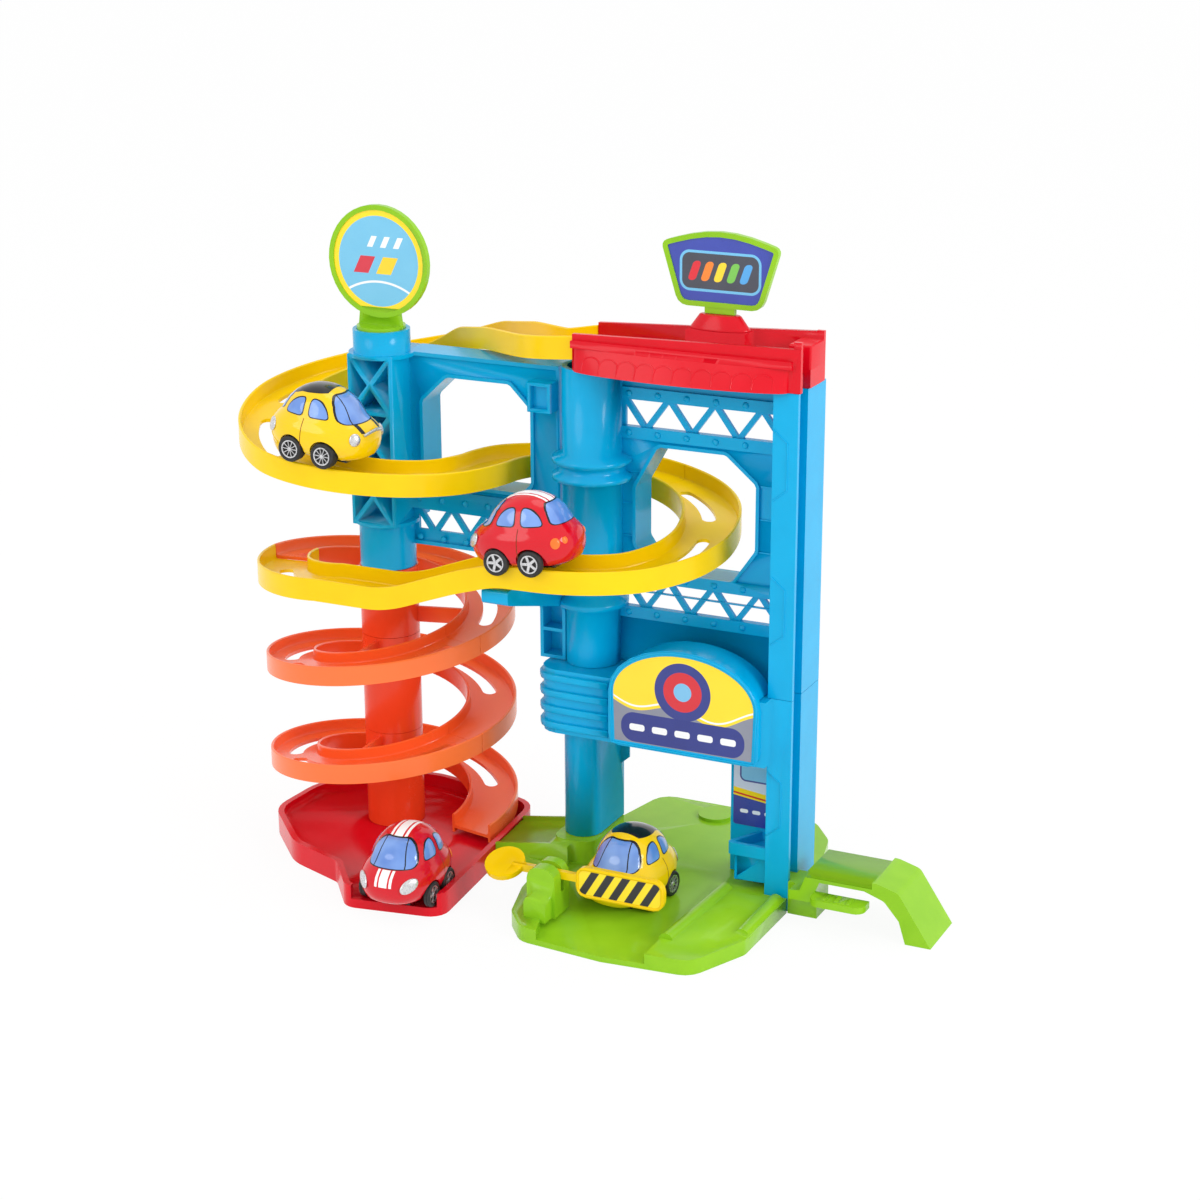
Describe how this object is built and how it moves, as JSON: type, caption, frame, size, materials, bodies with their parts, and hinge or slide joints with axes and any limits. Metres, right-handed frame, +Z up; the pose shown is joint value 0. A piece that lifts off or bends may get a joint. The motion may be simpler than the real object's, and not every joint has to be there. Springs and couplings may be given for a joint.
{
  "type": "toy parking garage",
  "caption": "Toy parking garage with a slotted lift post, looping car tracks, a spiral ramp, a swing barrier and small toy cars.",
  "frame": {"origin": "floor level under the axis of the tower's round column", "axes": "+X right along the wall to the lift, +Y to the back, +Z up"},
  "size_m": [0.4867, 0.2466, 0.4238],
  "materials": {
    "garage_blue": "glossy moulded plastic",
    "red_plastic": "glossy moulded plastic",
    "green_plastic": "glossy moulded plastic",
    "yellow_plastic": "glossy moulded plastic",
    "orange_plastic": "glossy moulded plastic",
    "printed_panel": "glossy moulded plastic",
    "steel_pin": "plain",
    "car_window": "glossy moulded plastic",
    "car_black": "plain",
    "car_yellow": "glossy moulded plastic",
    "car_red": "glossy moulded plastic"
  },
  "bodies": {
    "garage": {"upper_tower": "garage_blue", "lower_tower": "garage_blue", "left_wing": "garage_blue", "roof": "red_plastic", "sign_socket": "red_plastic", "roof_sign": "green_plastic", "round_sign": "green_plastic", "entrance_sign": "garage_blue", "booth_panel": "printed_panel", "base_plate": "green_plastic", "barrier_pin": "steel_pin", "exit_tray": "red_plastic", "upper_track": "yellow_plastic", "lower_track": "yellow_plastic", "helix_top": "orange_plastic", "helix_middle": "orange_plastic", "helix_bottom": "orange_plastic"},
    "barrier": {"barrier_arm": "yellow_plastic"},
    "lift": {"lift_platform": "green_plastic"},
    "yellow_car": {"yellow_car_body": "car_yellow", "yellow_car_windows": "car_window", "yellow_car_chassis": "car_black"},
    "yellow_car_front_wheels": {"yellow_car_front_wheels": "car_black"},
    "yellow_car_rear_wheels": {"yellow_car_rear_wheels": "car_black"},
    "red_car": {"red_car_body": "car_red", "red_car_windows": "car_window", "red_car_chassis": "car_black"},
    "red_car_front_wheels": {"red_car_front_wheels": "car_black"},
    "red_car_rear_wheels": {"red_car_rear_wheels": "car_black"},
    "racing_car": {"racing_car_body": "car_red", "racing_car_windows": "car_window", "racing_car_chassis": "car_black"},
    "racing_car_front_wheels": {"racing_car_front_wheels": "car_black"},
    "racing_car_rear_wheels": {"racing_car_rear_wheels": "car_black"},
    "striped_car": {"striped_car_body": "car_yellow", "striped_car_windows": "car_window", "striped_car_chassis": "car_black"},
    "striped_car_front_wheels": {"striped_car_front_wheels": "car_black"},
    "striped_car_rear_wheels": {"striped_car_rear_wheels": "car_black"}
  },
  "joints": [
    {"name": "barrier_swing", "type": "hinge", "parent": "garage", "child": "barrier", "pos_m": [0.013, -0.093, 0.0335], "axis": [0, -1, 0], "range_deg": [0, 28]},
    {"name": "lift_rise", "type": "slide", "parent": "garage", "child": "lift", "axis": [0, 0, 1], "range_m": [0, 0.31]},
    {"name": "yellow_car_lift_off", "type": "slide", "parent": "garage", "child": "yellow_car", "axis": [0, 0, 1], "range_m": [0, 0.025]},
    {"name": "yellow_car_front_roll", "type": "hinge", "parent": "yellow_car", "child": "yellow_car_front_wheels", "pos_m": [-0.13745, -0.07366, 0.28474], "axis": [-0.0035, 1, 0], "continuous": true},
    {"name": "yellow_car_rear_roll", "type": "hinge", "parent": "yellow_car", "child": "yellow_car_rear_wheels", "pos_m": [-0.16034, -0.07374, 0.28698], "axis": [-0.0035, 1, 0], "continuous": true},
    {"name": "red_car_lift_off", "type": "slide", "parent": "garage", "child": "red_car", "axis": [0, 0, 1], "range_m": [0, 0.025]},
    {"name": "red_car_front_roll", "type": "hinge", "parent": "red_car", "child": "red_car_front_wheels", "pos_m": [-0.01717, -0.075, 0.23257], "axis": [0, -1, 0], "continuous": true},
    {"name": "red_car_rear_roll", "type": "hinge", "parent": "red_car", "child": "red_car_rear_wheels", "pos_m": [0.00574, -0.075, 0.23457], "axis": [0, -1, 0], "continuous": true},
    {"name": "racing_car_lift_off", "type": "slide", "parent": "garage", "child": "racing_car", "axis": [0, 0, 1], "range_m": [0, 0.025]},
    {"name": "racing_car_front_roll", "type": "hinge", "parent": "racing_car", "child": "racing_car_front_wheels", "pos_m": [-0.0797, -0.11847, 0.0145], "axis": [0.9976, 0.0698, 0], "continuous": true},
    {"name": "racing_car_rear_roll", "type": "hinge", "parent": "racing_car", "child": "racing_car_rear_wheels", "pos_m": [-0.0813, -0.09553, 0.0145], "axis": [0.9976, 0.0698, 0], "continuous": true},
    {"name": "striped_car_lift_off", "type": "slide", "parent": "garage", "child": "striped_car", "axis": [0, 0, 1], "range_m": [0, 0.025]},
    {"name": "striped_car_front_roll", "type": "hinge", "parent": "striped_car", "child": "striped_car_front_wheels", "pos_m": [0.05017, -0.06336, 0.01543], "axis": [0.9976, -0.0698, 0], "continuous": true},
    {"name": "striped_car_rear_roll", "type": "hinge", "parent": "striped_car", "child": "striped_car_rear_wheels", "pos_m": [0.05177, -0.04044, 0.01655], "axis": [0.9976, -0.0698, 0], "continuous": true}
  ]
}
